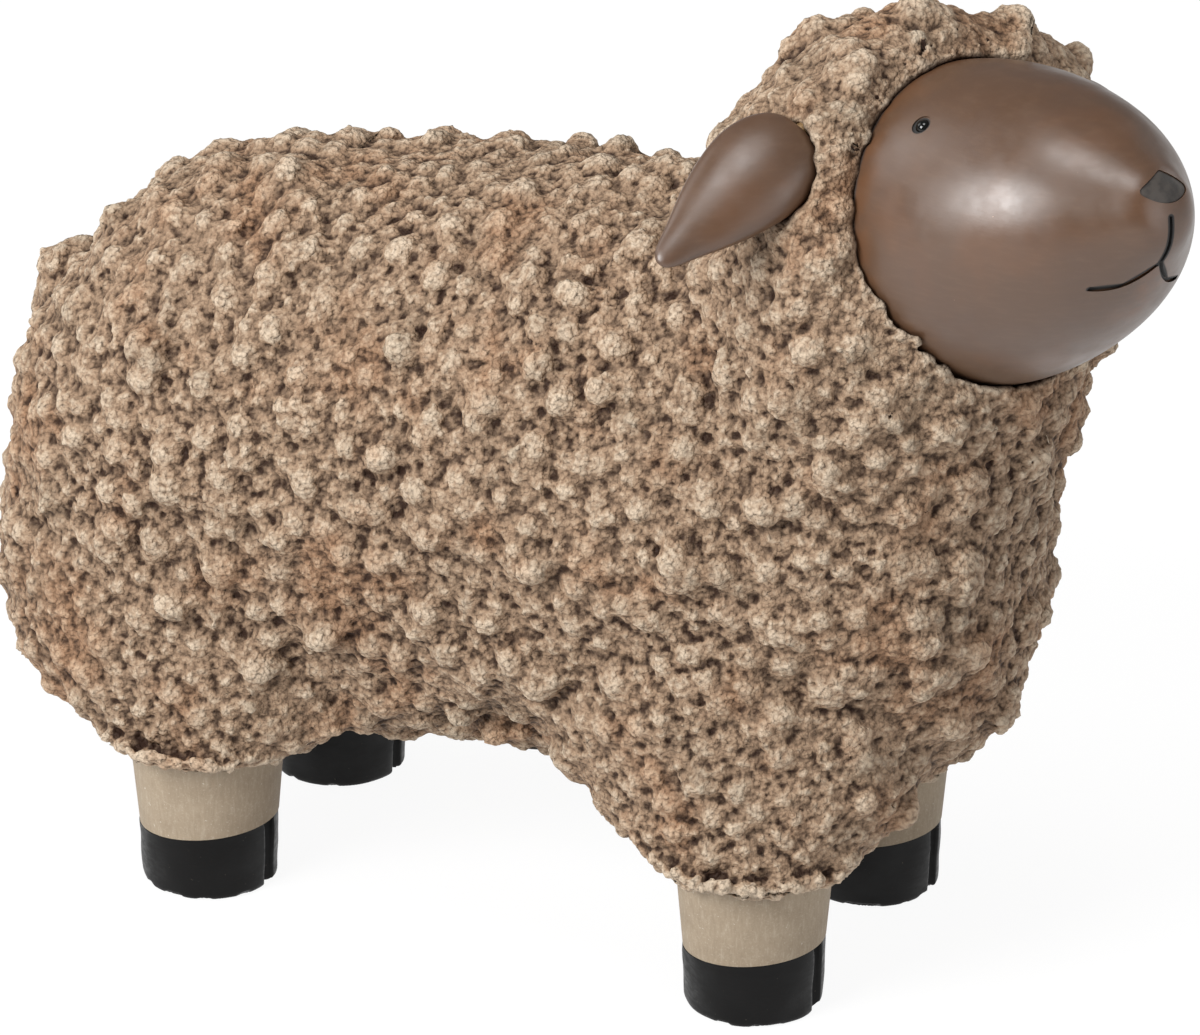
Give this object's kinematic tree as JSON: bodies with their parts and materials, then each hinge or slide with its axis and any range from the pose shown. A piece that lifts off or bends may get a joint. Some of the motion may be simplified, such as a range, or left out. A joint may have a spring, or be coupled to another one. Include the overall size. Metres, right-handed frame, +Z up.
{
  "type": "sheep figurine",
  "caption": "Standing sheep ornament with a rough knobbly fleece, a smooth face turned aside and lifted, drooping ears, short stub legs and dark cleft hooves.",
  "frame": {"origin": "on the ground under the middle of the whole ornament's bounding box", "axes": "+X towards the sheep's chest and face, +Y to its left, +Z up"},
  "size_m": [0.5077, 0.2306, 0.3952],
  "materials": {
    "fleece": "rough cast stone-filled resin, pale grey-beige over brown wash in the crevices",
    "face": "smooth satin brown paint over cast resin, with faint reddish mottling",
    "leg": "smooth beige-taupe paint with a fine brushed grain",
    "hoof": "near-black semi-gloss paint",
    "nose": "dark slate-grey satin paint",
    "eye": "glossy black glass-like bead",
    "plug": "plain grey-black rubber",
    "dowel": "plain turned hardwood",
    "rod": "drawn steel, unpainted"
  },
  "bodies": {
    "root": {"fleece_shell": "fleece", "belly_plug": "plug", "face": "face", "nose": "nose", "right_eye": "eye", "left_eye": "eye", "right_ear": "face", "left_ear": "face", "right_ear_dowel": "dowel", "left_ear_dowel": "dowel", "right_front_leg": "leg", "right_front_hoof": "hoof", "right_front_rod": "rod", "left_front_leg": "leg", "left_front_hoof": "hoof", "left_front_rod": "rod", "right_hind_leg": "leg", "right_hind_hoof": "hoof", "right_hind_rod": "rod", "left_hind_leg": "leg", "left_hind_hoof": "hoof", "left_hind_rod": "rod"}
  },
  "joints": []
}
